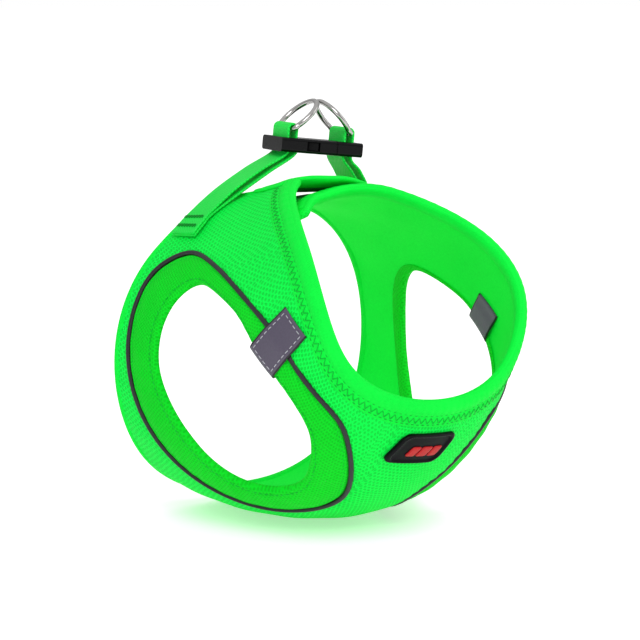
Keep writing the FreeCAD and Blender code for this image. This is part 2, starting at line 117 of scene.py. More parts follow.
heading, rise, distance = math.radians(-40), math.radians(10), 1.1
back = Vector((math.sin(heading) * math.cos(rise), -math.cos(heading) * math.cos(rise), math.sin(rise)))
camera = bpy.data.cameras.new("camera")
camera.sensor_width = 36.0
camera.lens = 111.4
camera.shift_x, camera.shift_y = -0.003, 0.039
tripod = bpy.data.objects.new("camera", camera)
tripod.location = AIM + back * distance
tripod.rotation_mode = "QUATERNION"
tripod.rotation_quaternion = back.to_track_quat("Z", "Y")
scene.collection.objects.link(tripod)
scene.camera = tripod


# ---------------------------------------------------------------------- air-mesh shell
# The body of the vest: one panel of 2.5 mm knitted spacer mesh with a honeycomb of
# small holes, sewn to a closed tube. Its left wing is tucked under the right one on
# the back, and it is cut away inside the piping that runs round each leg.
# half widths right and left, y at belly, side and back, z at belly and back, squareness
GIRTHS = ((98, 88, 62, 62, 52, 3, 177, 0.85),
          (98, 92, 10, 25, 34, -7, 181, 0.80),
          (92, 92, -82, -42, 18, -9, 185, 0.85),
          (74, 68, -104, -90, 8, 79, 189, 0.90))
BACK_SQUARE = 0.95
POLES = np.zeros((4, 12, 3))
for j, (right, left, belly_y, side_y, back_y, low, high, square) in enumerate(GIRTHS):
    for k in range(12):
        across, down = math.sin(math.radians(30 * k - 180)), math.cos(math.radians(30 * k - 180))
        power = square if down > 0 else BACK_SQUARE
        wide = math.copysign(abs(across) ** power, across) * (right if across < 0 else left)
        deep = side_y * across ** 2 + (belly_y if down > 0 else back_y) * down ** 2
        tall = (low + high) / 2 - (high - low) / 2 * math.copysign(abs(down) ** power, down)
        POLES[j, k] = wide * MM, deep * MM + REST_Y, tall * MM


def unit(vectors):
    return vectors / np.maximum(np.linalg.norm(vectors, axis=-1, keepdims=True), 1e-12)


def bare_skin(turn, along):
    """The fabric's middle surface: degrees round from the belly line, part of the way hem to neck."""
    place = (turn + 180.0) / 30.0
    near = np.floor(place).astype(int)
    f = place - near
    girth = ((1 - f) ** 3 / 6, (3 * f ** 3 - 6 * f ** 2 + 4) / 6,
             (-3 * f ** 3 + 3 * f ** 2 + 3 * f + 1) / 6, f ** 3 / 6)
    run = ((1 - along) ** 3, 3 * along * (1 - along) ** 2, 3 * along ** 2 * (1 - along), along ** 3)
    found = np.zeros(place.shape + (3,))
    for a, weight in enumerate(girth):
        for b, share in enumerate(run):
            found += (weight * share)[..., None] * POLES[b, (near - 1 + a) % 12]
    return found


def skin_way(turn, along):
    """Outward direction of that surface."""
    by_turn = bare_skin(turn + 0.5, along) - bare_skin(turn - 0.5, along)
    by_along = bare_skin(turn, along + 0.004) - bare_skin(turn, along - 0.004)
    return unit(np.cross(by_turn, by_along))


def skin(turn, along, lift=0.0):
    """Points lifted off that surface by so many metres."""
    turn, along, lift = np.broadcast_arrays(*(np.asarray(v, float) for v in (turn, along, lift)))
    return bare_skin(turn, along) + skin_way(turn, along) * lift[..., None]


def ease(low, high, value):
    t = np.clip((np.asarray(value, float) - low) / (high - low), 0, 1)
    return t * t * (3 - 2 * t)


RIGHT_END, LEFT_END = -163.0, 205.0     # the wings' ends; 205 lies under the right wing


def wing_rise(turn, along=1.0):
    """How far a layer stands above the plain tube where the wings overlap; the left one sags."""
    sag = 9.0 * MM * ease(150, 186, turn) + 2.0 * MM * ease(184, 205, turn)
    return 3.4 * MM * ease(-134, -163, turn) - sag * (0.45 + 0.55 * ease(0.2, 0.9, along))


def grid_faces(rows, columns, round_rows=False, round_columns=False):
    faces = []
    for i in range(rows if round_rows else rows - 1):
        for j in range(columns if round_columns else columns - 1):
            below, beside = (i + 1) % rows, (j + 1) % columns
            faces.append((i * columns + j, i * columns + beside,
                          below * columns + beside, below * columns + j))
    return faces


def build(name, points, faces, material, run=None, closed=True):
    """A mesh piece; run holds each point's place on the flat cloth, in metres."""
    mesh = bpy.data.meshes.new(name)
    mesh.from_pydata([tuple(p) for p in np.asarray(points, float).reshape(-1, 3)], [], faces)
    mesh.materials.append(material)
    if closed:
        shape = bmesh.new()
        shape.from_mesh(mesh)
        bmesh.ops.recalc_face_normals(shape, faces=shape.faces)
        shape.to_mesh(mesh)
        shape.free()
    mesh.shade_smooth()
    if run is not None:
        flat = np.zeros((len(mesh.vertices), 3), np.float32)
        flat[:, :2] = np.asarray(run, float).reshape(-1, 2)
        cloth_run = mesh.attributes.new("run", "FLOAT_VECTOR", "POINT")
        cloth_run.data.foreach_set("vector", flat.ravel())
    piece = bpy.data.objects.new(name, mesh)
    scene.collection.objects.link(piece)
    return piece


def inside(outline, turn, along):
    """Which places lie inside a closed outline of (degrees, part of the way) points."""
    hit = np.zeros(turn.shape, bool)
    for (t0, s0), (t1, s1) in zip(outline, np.roll(outline, -1, 0)):
        crosses = (s0 > along) != (s1 > along)
        where = t0 + (along - s0) * (t1 - t0) / (s1 - s0 if s1 != s0 else 1e-9)
        hit ^= crosses & (turn < where)
    return hit


def run_along(path):
    """Distance gone along a path at each of its points."""
    return np.concatenate([[0], np.cumsum(np.linalg.norm(np.diff(path, axis=0), axis=1))])


def smooth_loop(points, count, closed=True):
    """Evenly spread points of a smooth curve through the given ones."""
    points = np.asarray(points, float)
    n = len(points)
    spans = n if closed else n - 1
    dense = []
    for i in range(spans):
        if closed:
            a, b, c, d = (points[(i + k) % n] for k in (-1, 0, 1, 2))
        else:
            a, b, c, d = (points[min(max(i + k, 0), n - 1)] for k in (-1, 0, 1, 2))
        for f in np.arange(24) / 24:
            dense.append(0.5 * (2 * b + (c - a) * f + (2 * a - 5 * b + 4 * c - d) * f ** 2
                                + (3 * b - a - 3 * c + d) * f ** 3))
    dense.append(points[0] if closed else points[-1])
    dense = np.array(dense)
    gone = run_along(dense)
    at = np.linspace(0, gone[-1], count + 1 if closed else count)
    at = at[:-1] if closed else at
    return np.stack([np.interp(at, gone, dense[:, k]) for k in range(dense.shape[1])], axis=1)


# where the piping runs, from the belly line round and from hem to neck
PIPING_LINE = ((131, 0.33), (121, 0.58), (100, 0.77), (74, 0.865), (38, 0.885), (16, 0.70),
               (22, 0.48), (44, 0.30), (70, 0.15), (97, 0.09), (122, 0.12))
LEG_EDGE = ((118, 0.46), (106, 0.65), (89, 0.74), (65, 0.815), (45, 0.80), (32, 0.66),
            (40, 0.50), (63, 0.37), (89, 0.265), (110, 0.31))
CHEST_SKEW = 8.0    # degrees the leg outlines shift right at the belly line, none at the back
FLAT_TURN, FLAT_ALONG = 1.65, 190.0     # mm of cloth per degree, and hem to neck
LEG_MIDDLE = (74.0, 0.5)


def leg_line(line, side, count=220):
    """A line round the leg as (degrees, part of the way), one point per direction from its middle."""
    flat = smooth_loop([((t - LEG_MIDDLE[0]) * FLAT_TURN, (s - LEG_MIDDLE[1]) * FLAT_ALONG)
                        for t, s in line], 720)
    heading = np.arctan2(flat[:, 1], flat[:, 0])
    order = np.argsort(heading)
    reach = np.hypot(flat[:, 0], flat[:, 1])[order]
    want = np.linspace(-math.pi, math.pi, count, endpoint=False)
    reach = np.interp(want, heading[order], reach, period=2 * math.pi)
    turn = side * (LEG_MIDDLE[0] + reach * np.cos(want) / FLAT_TURN)
    turn = turn - CHEST_SKEW * np.cos(np.radians(turn) / 2) ** 2
    return np.stack([turn, LEG_MIDDLE[1] + reach * np.sin(want) / FLAT_ALONG], axis=1)


def panel(name, columns, rows, lift, holes, material):
    """The whole tube of one layer, with holes cut and its boundary drawn onto their outlines."""
    turn = np.linspace(RIGHT_END, LEFT_END, columns)[:, None] * np.ones((1, rows))
    along = np.ones((columns, 1)) * np.linspace(0, 1, rows)[None, :]
    faces = np.array(grid_faces(columns, rows))
    middle_turn, middle_along = turn.ravel()[faces].mean(1), along.ravel()[faces].mean(1)
    cut = np.zeros(len(faces), bool)
    for outline in holes:
        cut |= inside(outline, middle_turn, middle_along)
    kept = faces[~cut]
    flat = np.stack([turn.ravel(), along.ravel()], axis=1)
    scale = np.array([FLAT_TURN, FLAT_ALONG])
    rim = np.intersect1d(np.unique(kept), np.unique(faces[cut]))
    for vertex in rim:
        best = min((np.linalg.norm((outline - flat[vertex]) * scale, axis=1).min(), k)
                   for k, outline in enumerate(holes))
        gaps = np.linalg.norm((holes[best[1]] - flat[vertex]) * scale, axis=1)
        flat[vertex] = holes[best[1]][gaps.argmin()]
    points = skin(flat[:, 0], flat[:, 1], lift(flat[:, 0], flat[:, 1]))
    points[:, 2] = np.maximum(points[:, 2], 0.0)
    net = points.reshape(columns, rows, 3)
    run_u = np.cumsum(np.linalg.norm(np.diff(net, axis=0, prepend=net[:1]), axis=2), axis=0)
    run_v = np.cumsum(np.linalg.norm(np.diff(net, axis=1, prepend=net[:, :1]), axis=2), axis=1)
    middle = rows // 2
    run_v = run_v - run_v[:, middle:middle + 1]
    run_u = np.repeat(run_u[:, middle:middle + 1], rows, axis=1)
    first, same = np.unique(flat.round(6), axis=0, return_index=True, return_inverse=True)[1:]
    used, kept = np.unique(first[same.ravel()][kept], return_inverse=True)
    run = np.stack([run_u.ravel(), run_v.ravel()], axis=1)[used]
    rounds = [tuple(dict.fromkeys(f)) for f in kept.reshape(-1, 4)[:, ::-1].tolist()]
    return build(name, points[used], [f for f in rounds if len(f) > 2], material, run, closed=False)


def group(name, inputs, outputs=(("Mask", "NodeSocketFloat"), ("Height", "NodeSocketFloat"))):
    tree = bpy.data.node_groups.new(name, "ShaderNodeTree")
    for label, kind, value in inputs:
        socket = tree.interface.new_socket(name=label, in_out="INPUT", socket_type=kind)
        if value is not None:
            socket.default_value = value
    for label, kind in outputs:
        tree.interface.new_socket(name=label, in_out="OUTPUT", socket_type=kind)
    return tree


def group_ends(tree):
    return tree.nodes.new("NodeGroupInput"), tree.nodes.new("NodeGroupOutput")


# honeycomb of holes: the nearest centre of two interlaced square grids; its Mask marks the holes, which the
# cloth darkens as painted shade
honeycomb = group("honeycomb_holes", (("Run", "NodeSocketVector", None),
                                      ("Pitch", "NodeSocketFloat", 0.0027)))
source, target = group_ends(honeycomb)
scaled = add(honeycomb, "VectorMath", {0: source.outputs["Run"]}, operation="SCALE")
share = add(honeycomb, "Math", {0: 1.0, 1: source.outputs["Pitch"]}, operation="DIVIDE")
honeycomb.links.new(share.outputs[0], scaled.inputs["Scale"])
reaches = []
for start in ((200.0, 200.0, 0.0), (200.5, 200.0 + math.sqrt(3) / 2, 0.0)):
    moved = add(honeycomb, "VectorMath", {0: scaled.outputs[0], 1: start}, operation="ADD")
    cell = add(honeycomb, "VectorMath", {0: moved.outputs[0], 1: (1.0, math.sqrt(3), 1.0)},
               operation="MODULO")
    centred = add(honeycomb, "VectorMath", {0: cell.outputs[0], 1: (0.5, math.sqrt(3) / 2, 0.0)},
                  operation="SUBTRACT")
    reach = add(honeycomb, "VectorMath", {0: centred.outputs[0]}, operation="LENGTH")
    reaches.append(reach.outputs["Value"])
nearest = add(honeycomb, "Math", {0: reaches[0], 1: reaches[1]}, operation="MINIMUM")
hole = add(honeycomb, "MapRange", {0: nearest.outputs[0], 1: 0.20, 2: 0.40, 3: 1.0, 4: 0.0},
           interpolation_type="SMOOTHSTEP")
depth = add(honeycomb, "Math", {0: 1.0, 1: hole.outputs[0]}, operation="SUBTRACT")
honeycomb.links.new(hole.outputs[0], target.inputs["Mask"])
honeycomb.links.new(depth.outputs[0], target.inputs["Height"])

# plain weave: two crossed sets of ribs; its Mask marks the low hollows between them, which the cloth darkens
# as painted shade
weave = group("plain_weave", (("Run", "NodeSocketVector", None), ("Along", "NodeSocketFloat", 0.001),
                              ("Across", "NodeSocketFloat", 0.001)))
source, target = group_ends(weave)
split = add(weave, "SeparateXYZ", {0: source.outputs["Run"]})
waves = []
for axis, pitch in ((0, "Along"), (1, "Across")):
    part = add(weave, "Math", {0: split.outputs[axis], 1: source.outputs[pitch]}, operation="DIVIDE")
    full = add(weave, "Math", {0: part.outputs[0], 1: 2 * math.pi}, operation="MULTIPLY")
    waves.append(add(weave, "Math", {0: full.outputs[0]}, operation="SINE").outputs[0])
crossing = add(weave, "Math", {0: waves[0], 1: waves[1]}, operation="MULTIPLY")
rib = add(weave, "MapRange", {0: crossing.outputs[0], 1: -1.0, 2: 1.0, 3: 0.0, 4: 1.0})
valley = add(weave, "MapRange", {0: crossing.outputs[0], 1: -0.1, 2: -0.9, 3: 0.0, 4: 1.0})
weave.links.new(valley.outputs[0], target.inputs["Mask"])
weave.links.new(rib.outputs[0], target.inputs["Height"])

# fine unevenness of dye and pile, from noise in the object's own space
pile = group("pile_noise", (("Place", "NodeSocketVector", None), ("Grain", "NodeSocketFloat", 900.0)),
             (("Tone", "NodeSocketFloat"), ("Fuzz", "NodeSocketFloat")))
source, target = group_ends(pile)
broad = add(pile, "TexNoise", {"Vector": source.outputs["Place"], "Scale": 28.0, "Detail": 3.0})
fine = add(pile, "TexNoise", {"Vector": source.outputs["Place"], "Scale": source.outputs["Grain"],
                             "Detail": 2.0})
mixed = add(pile, "Math", {0: broad.outputs["Fac"], 1: fine.outputs["Fac"]}, operation="ADD")
tone = add(pile, "MapRange", {0: mixed.outputs[0], 1: 0.6, 2: 1.4, 3: 0.0, 4: 1.0})
pile.links.new(tone.outputs[0], target.inputs["Tone"])
pile.links.new(fine.outputs["Fac"], target.inputs["Fuzz"])


def cloth(name, light, dark, pattern, values, bump, rough, sheen=0.0, painted_glow=0.0, grain=900.0, shine=0.12):
    """A fabric finish: its light colour, with the dark colour put where its pattern's mask is (painted shade
    in holes and weave hollows, the ribbon's real dark border), uneven in tone, with its own relief and an
    optional painted glow.
    """
    material = bpy.data.materials.new(name)
    material.use_nodes = True
    tree = material.node_tree
    shader = tree.nodes["Principled BSDF"]
    run = add(tree, "Attribute", attribute_name="run")
    place = add(tree, "TexCoord")
    knit = add(tree, "Group", node_tree=pattern)
    tree.links.new(run.outputs["Vector"], knit.inputs["Run"])
    for label, value in values.items():
        knit.inputs[label].default_value = value
    noise = add(tree, "Group", node_tree=pile)
    tree.links.new(place.outputs["Object"], noise.inputs["Place"])
    noise.inputs["Grain"].default_value = grain
    # painted shade: the dark colour is mixed in where the pattern's mask marks holes or the weave's hollows;
    # on the ribbon it is its real dark border
    dyed_and_shaded = add(tree, "Mix", {0: knit.outputs["Mask"], 6: (*light, 1), 7: (*dark, 1)}, data_type="RGBA")
    faded = add(tree, "Mix", {0: noise.outputs["Tone"], 6: (0.86, 0.86, 0.86, 1), 7: (1, 1, 1, 1)},
                data_type="RGBA")
    toned = add(tree, "Mix", {0: 1.0, 6: dyed_and_shaded.outputs[2], 7: faded.outputs[2]}, data_type="RGBA",
                blend_type="MULTIPLY")
    tree.links.new(toned.outputs[2], shader.inputs["Base Color"])
    relief = add(tree, "Math", {0: noise.outputs["Fuzz"], 1: 0.25, 2: knit.outputs["Height"]},
                 operation="MULTIPLY_ADD")
    raised = add(tree, "Bump", {"Height": relief.outputs[0], "Distance": bump, "Strength": 1.0})
    tree.links.new(raised.outputs[0], shader.inputs["Normal"])
    gloss = add(tree, "MapRange", {0: noise.outputs["Tone"], 1: 0.0, 2: 1.0,
                                   3: rough + 0.06, 4: rough - 0.06})
    tree.links.new(gloss.outputs[0], shader.inputs["Roughness"])
    shader.inputs["Specular IOR Level"].default_value = shine
    shader.inputs["Sheen Weight"].default_value = sheen
    shader.inputs["Sheen Roughness"].default_value = 0.4
    shader.inputs["Sheen Tint"].default_value = (*light, 1)
    # painted glow: the cloth gives off a little of its own colour, so it looks brighter than the lamps light
    # it
    if painted_glow:
        shader.inputs["Emission Color"].default_value = (*light, 1)
        shader.inputs["Emission Strength"].default_value = painted_glow
    return material


# the spacer mesh's dye green, and a darker green that is painted shade in its holes
GREEN, HOLE_SHADE_GREEN = (0.0, 0.80, 0.062), (0.0, 0.60, 0.04)
spacer_mesh = cloth("spacer_mesh", GREEN, HOLE_SHADE_GREEN, honeycomb, {"Pitch": 0.0027}, 0.0004, 0.7,
                    sheen=0.08, painted_glow=0.05)
piping_loops = {side: leg_line(PIPING_LINE, side) for side in (-1, 1)}
leg_loops = {side: leg_line(LEG_EDGE, side) for side in (-1, 1)}
SHELL_TOP, SHELL_THICK = 2.55 * MM, 2.4 * MM


def seam_gap(turn, along, outlines):
    """Distance in mm on the flat cloth to the nearest of the outlines."""
    spots = np.stack([turn, along], axis=1)
    scale = np.array([FLAT_TURN, FLAT_ALONG])
    best = np.full(len(spots), 1e9)
    for outline in outlines:
        for chunk in range(0, len(spots), 20000):
            part = spots[chunk:chunk + 20000]
            gaps = np.linalg.norm((part[:, None] - outline[None, ::2]) * scale, axis=2).min(1)
            best[chunk:chunk + 20000] = np.minimum(best[chunk:chunk + 20000], gaps)
    return best


def shell_lift(turn, along):
    """The mesh is drawn down at its seams and puffs up a little between them, with soft ripples."""
    pull = 1.1 * MM * np.exp(-seam_gap(turn, along, piping_loops.values()) / 2.5)
    ripple = 0.35 * MM * np.sin(turn * 0.31 + 5 * along) * np.sin(along * 17 + turn * 0.05)
    pucker = 0.18 * MM * np.sin(turn * 2.9) * np.exp(-(1 - along) * 14)
    return SHELL_TOP - pull + ripple + pucker + wing_rise(turn, along)


shell = panel("air_mesh_shell", 331, 141, shell_lift, list(piping_loops.values()), spacer_mesh)
thick = shell.modifiers.new("thickness", "SOLIDIFY")
thick.thickness = SHELL_THICK
thick.offset = -1.0
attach(shell, "vest")
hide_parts("mesh_chest", "mesh_belly_band", "mesh_wing_right", "mesh_wing_left")


# ------------------------------------------------------------------------------ lining
# Inside is a thin, smooth knitted lining in a paler green, bonded to the mesh and cut
# out at the leg openings. It shows on the far wing and through the neck.
LINING_LIFT = -1.3 * MM
# its darker green is painted shade in the weave's hollows
lining_knit = cloth("lining_knit", (0.0, 0.80, 0.045), (0.0, 0.68, 0.035), weave,
                    {"Along": 0.0011, "Across": 0.0011}, 0.00008, 0.7, sheen=0.08, painted_glow=0.05)


def lining_lift(turn, along):
    return LINING_LIFT + 0.25 * MM * np.sin(turn * 0.17 + 9 * along) + wing_rise(turn, along)


lining = panel("lining_cloth", 261, 111, lining_lift, list(leg_loops.values()), lining_knit)
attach(lining, "vest")
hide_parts("lining_right", "lining_left")


# ------------------------------------------------------------------------- leg trims
# Round each leg a soft brushed fabric over thin foam, sewn to the mesh under the
# piping and turned over the edge of the opening to the inside, with one row of
# stitches near the edge and a thin rolled line beside the piping.
# (share of the way from piping to opening, lift in mm) of the pad's section
TRIM_SECTION = ((0.0, 0.6), (0.06, 1.3), (0.10, 2.3), (0.14, 2.6), (0.175, 2.0), (0.22, 2.8),
                (0.32, 3.35), (0.50, 3.5), (0.70, 3.3), (0.84, 3.0), (0.88, 2.55), (0.92, 2.95), (0.98, 2.6),
                (1.015, 1.6), (1.03, 0.4), (1.015, -1.0), (0.98, -2.0), (0.90, -2.3),
                (0.76, -2.2), (0.74, -1.7), (0.80, -1.3), (0.90, -0.9), (0.5, 0.5))
# its darker green is painted shade in the holes of its honeycomb
brushed_trim = cloth("brushed_trim", (0.0, 0.60, 0.014), (0.0, 0.47, 0.010), honeycomb,
                     {"Pitch": 0.0021}, 0.00018, 0.75, sheen=0.1, painted_glow=0.03)
SIDES = {-1: "right", 1: "left"}
for side, name in SIDES.items():
    share = np.array([t for t, lift in TRIM_SECTION])[None, :, None]
    spots = piping_loops[side][:, None] * (1 - share) + leg_loops[side][:, None] * share
    lifts = np.array([lift for t, lift in TRIM_SECTION])[None, :] * MM
    count = len(spots)
    pucker = 1 + 0.05 * np.sin(np.arange(count) * 1.1)[:, None] * (lifts > 2 * MM)
    points = skin(spots[..., 0], spots[..., 1], lifts * pucker)
    run = np.stack([spots[..., 0] * FLAT_TURN * MM, spots[..., 1] * FLAT_ALONG * MM], axis=2)
    trim = build("leg_trim_pad_" + name, points,
                 grid_faces(count, len(TRIM_SECTION), True, True), brushed_trim, run)
    smooth = trim.modifiers.new("soft", "SUBSURF")
    smooth.levels = smooth.render_levels = 1
    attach(trim, "vest")
    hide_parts("leg_trim_" + name)


# ----------------------------------------------------------------------------- piping
# A 2.8 mm cord wrapped in dark grey reflective tape, sewn in the seam between mesh and
# trim. Its tape flange lies flat on the mesh side with a row of fine stitches.
def swept(name, path, out, section, closed, material):
    """A section of (across, up) points drawn along a path; up follows out."""
    path, section = np.asarray(path, float), np.asarray(section, float)
    if closed:
        run = np.roll(path, -1, 0) - np.roll(path, 1, 0)
    else:
        run = np.gradient(path, axis=0)
    run = unit(run)
    across = unit(np.cross(run, out))
    up = np.cross(across, run)
    points = (path[:, None] + across[:, None] * section[..., 0:1] + up[:, None] * section[..., 1:2])
    rows, columns = points.shape[:2]
    faces = grid_faces(rows, columns, closed, True)
    if not closed:
        faces.append(tuple(range(columns - 1, -1, -1)))
        faces.append(tuple(range((rows - 1) * columns, rows * columns)))
    gone = run_along(path)
    flat = np.zeros((rows, columns, 2))
    flat[..., 0] = gone[:, None]
    flat[..., 1] = section[..., 0]
    return build(name, points, faces, material, flat)


def ellipse(half_width, half_height, count):
    angles = np.arange(count) * 2 * math.pi / count
    return np.stack([half_width * np.cos(angles), half_height * np.sin(angles)], axis=1)


def stitches(name, starts, ends, outs, radius, material):
    """Short threads lying on the cloth from start to end, sunk at both ends."""
    rings = ((0.0, -0.9, 0.45), (0.12, 0.2, 0.95), (0.5, 0.55, 1.0), (0.88, 0.2, 0.95), (1.0, -0.9, 0.45))
    starts, ends, outs = (np.asarray(v, float) for v in (starts, ends, outs))
    run = unit(ends - starts)
    across = unit(np.cross(run, outs))
    points, faces = [], []
    turns = np.arange(6) * math.pi / 3
    for share, height, wide in rings:
        middle = starts + (ends - starts) * share + outs * height * radius
        for turn in turns:
            points.append(middle + (across * math.cos(turn) + outs * math.sin(turn)) * radius * wide)
    points = np.stack(points, axis=1)
    count = points.shape[1]
    for k in range(len(starts)):
        first = k * count
        for i in range(len(rings) - 1):
            for j in range(6):
                beside = (j + 1) % 6
                faces.append((first + i * 6 + j, first + i * 6 + beside,
                              first + i * 6 + 6 + beside, first + i * 6 + 6 + j))
        faces.append(tuple(first + j for j in range(5, -1, -1)))
        faces.append(tuple(first + count - 6 + j for j in range(6)))
    flat = np.zeros((len(starts), count, 2))
    flat[..., 0] = np.repeat(np.array([r[0] for r in rings]), 6)[None] * 0.003
    return build(name, points, faces, material, flat)


def stitch_row(name, spots, lift, length, gap, radius, material):
    """Stitches along a line of (degrees, part of the way) spots on the cloth."""
    path = skin(spots[:, 0], spots[:, 1], lift)
    gone = run_along(path)
    first = np.arange(0, gone[-1] - length, length + gap)
    ways = skin_way(spots[:, 0], spots[:, 1])

    def at(values, distance):
        return np.stack([np.interp(distance, gone, values[:, k]) for k in range(3)], axis=1)

    return stitches(name, at(path, first), at(path, first + length), unit(at(ways, first)), radius,
                    material)


def thread_finish(name, colour):
    # the darker copy of the thread colour is painted shade in the weave's hollows
    return cloth(name, colour, tuple(c * 0.6 for c in colour), weave, {"Along": 0.0007, "Across": 0.0007},
                 0.00005, 0.5, sheen=0.1)


green_thread = thread_finish("green_thread", (0.0, 0.40, 0.03))
dark_thread = thread_finish("dark_green_thread", (0.0, 0.26, 0.02))
# its darker grey is painted shade in the weave's hollows
reflective_tape = cloth("reflective_tape", (0.020, 0.019, 0.022), (0.010, 0.010, 0.012), weave,
                        {"Along": 0.0006, "Across": 0.0006}, 0.00004, 0.42, shine=0.25)
PIPING_RADIUS = 1.4 * MM
for side, name in SIDES.items():
    loop = piping_loops[side]
    path = skin(loop[:, 0], loop[:, 1], 0.5 * MM + PIPING_RADIUS)
    ways = skin_way(loop[:, 0], loop[:, 1])
    piping = swept("piping_cord_" + name, path, ways, ellipse(PIPING_RADIUS, PIPING_RADIUS, 14), True,
                   reflective_tape)
    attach(piping, "vest")
    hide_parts("piping_" + name)
    closed = np.concatenate([loop, loop[:1]])
    inner = np.concatenate([leg_loops[side], leg_loops[side][:1]])
    for label, share, lift in (("edge", 0.88, 2.75), ("seam", 0.175, 2.05)):
        line = closed * (1 - share) + inner * share
        row = stitch_row("trim_stitches_{}_{}".format(label, name), line, lift * MM, 2.3 * MM, 0.9 * MM,
                         0.22 * MM, green_thread)
        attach(row, "vest")


# -------------------------------------------------------------------- edge binding
# One knitted elastic tape folded over mesh and lining. It goes round the hem, the
# ends of both wings and the neck edge.
# its darker green is painted shade in the weave's hollows
binding_knit = cloth("binding_knit", (0.0, 0.76, 0.045), (0.0, 0.60, 0.03), weave,
                     {"Along": 0.0012, "Across": 0.0009}, 0.00012, 0.7, sheen=0.08, painted_glow=0.04)
HEM_COUNT, END_COUNT = 240, 28
HEM_PLACE, NECK_PLACE = 0.012, 0.992    # part of the way, hem to neck, of its long sides
hem_turns = np.linspace(RIGHT_END, LEFT_END, HEM_COUNT)
end_steps = np.linspace(0, 1, END_COUNT + 2)[1:-1]
edge_spots = np.concatenate([
    np.stack([hem_turns, np.full(HEM_COUNT, HEM_PLACE)], axis=1),
    np.stack([np.full(END_COUNT, LEFT_END), end_steps], axis=1),
    np.stack([hem_turns[::-1], np.full(HEM_COUNT, NECK_PLACE)], axis=1),
    np.stack([np.full(END_COUNT, RIGHT_END), end_steps[::-1]], axis=1)])
edge_lift = 0.6 * MM + wing_rise(edge_spots[:, 0], edge_spots[:, 1])
edge_path = skin(edge_spots[:, 0], edge_spots[:, 1], edge_lift)
edge_path[:, 2] = np.maximum(edge_path[:, 2], 2.75 * MM)
binding = swept("edge_binding_tape", edge_path, skin_way(edge_spots[:, 0], edge_spots[:, 1]),
                ellipse(2.9 * MM, 2.7 * MM, 14), True, binding_knit)
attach(binding, "vest")
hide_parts("hem_binding")


# -------------------------------------------------------------------------- neck band
# A 14 mm folded band of the same knit over a soft foam strip, quilted on with
# a green zig-zag and a row of stitches each side of it. Its fold is a smooth fat roll.
# (mm of cloth back from the neck edge, lift in mm) of the folded band's section
BAND_SECTION = ((14.0, 2.2), (13.8, 2.9), (13.0, 3.1), (12.2, 2.8), (10.5, 3.3), (8.2, 3.3), (7.2, 2.9),
                (6.2, 3.7), (4.5, 4.3), (2.4, 4.3), (0.6, 3.6), (-0.7, 2.2), (-1.1, 0.5),
                (-0.7, -1.2), (0.6, -2.4), (3.0, -2.7), (6.0, -2.6), (7.0, -2.0), (6.0, -1.4),
                (7.0, 0.5), (12.0, 1.2))
NECK_COUNT, BACK_COUNT, BACK_STEP = 300, 90, 0.006
neck_turns = np.linspace(RIGHT_END + 0.5, LEFT_END - 0.5, NECK_COUNT)
back_steps = 1.0 - np.arange(BACK_COUNT) * BACK_STEP
tracks = bare_skin(neck_turns[:, None] * np.ones((1, BACK_COUNT)),
                   np.ones((NECK_COUNT, 1)) * back_steps[None])
track_run = np.cumsum(np.linalg.norm(np.diff(tracks, axis=1, prepend=tracks[:, :1]), axis=2), axis=1)


def from_neck(distance):
    """Part of the way hem to neck that lies so many mm of cloth back from the neck edge."""
    if distance < 0:
        slope = (track_run[:, 3] - track_run[:, 0]) / (back_steps[0] - back_steps[3])
        return 1.0 - distance * MM / slope
    return np.array([np.interp(distance * MM, track, back_steps) for track in track_run])


band_along = np.stack([from_neck(d) for d, lift in BAND_SECTION], axis=1)
band_turn = np.repeat(neck_turns[:, None], len(BAND_SECTION), axis=1)
quilt = 1 + 0.04 * np.sin(np.arange(NECK_COUNT) * 2.1)[:, None]
band_lift = np.array([lift for d, lift in BAND_SECTION])[None] * MM * quilt
band_lift = band_lift + wing_rise(band_turn, band_along)
band_points = skin(band_turn, band_along, band_lift)
band_back = np.array([d for d, lift in BAND_SECTION])[None] * MM
band_run = np.stack([band_turn * FLAT_TURN * MM, np.repeat(band_back, NECK_COUNT, axis=0)], axis=2)
faces = grid_faces(NECK_COUNT, len(BAND_SECTION), False, True)
faces.append(tuple(range(len(BAND_SECTION) - 1, -1, -1)))
faces.append(tuple((NECK_COUNT - 1) * len(BAND_SECTION) + k for k in range(len(BAND_SECTION))))
band = build("neck_band_pad", band_points, faces, binding_knit, band_run)
soft = band.modifiers.new("soft", "SUBSURF")
soft.levels = soft.render_levels = 1
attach(band, "vest")
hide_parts("neck_binding")
# the two lines the zig-zag runs between, in mm of cloth back from the neck edge
near, far = from_neck(8.1), from_neck(11.5)
girth = bare_skin(neck_turns, near)
gone = run_along(girth)
steps = np.arange(0, gone[-1], 1.9 * MM)
turns = np.interp(steps, gone, neck_turns)
alongs = np.where(np.arange(len(steps)) % 2 == 0, np.interp(steps, gone, near),
                  np.interp(steps, gone, far))
spots = skin(turns, alongs, 3.25 * MM + wing_rise(turns, alongs))
ways = skin_way(turns, alongs)
zigzag = stitches("neck_zigzag", spots[:-1], spots[1:], ways[:-1], 0.26 * MM, green_thread)
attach(zigzag, "vest")
for label, place, lift in (("roll", 7.2, 2.85), ("seam", 12.3, 2.8)):
    line = np.stack([neck_turns, from_neck(place)], axis=1)
    row = stitch_row("neck_stitches_" + label, line, lift * MM + wing_rise(*line.T), 2.2 * MM, 1.2 * MM,
                     0.26 * MM, dark_thread)
    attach(row, "vest")


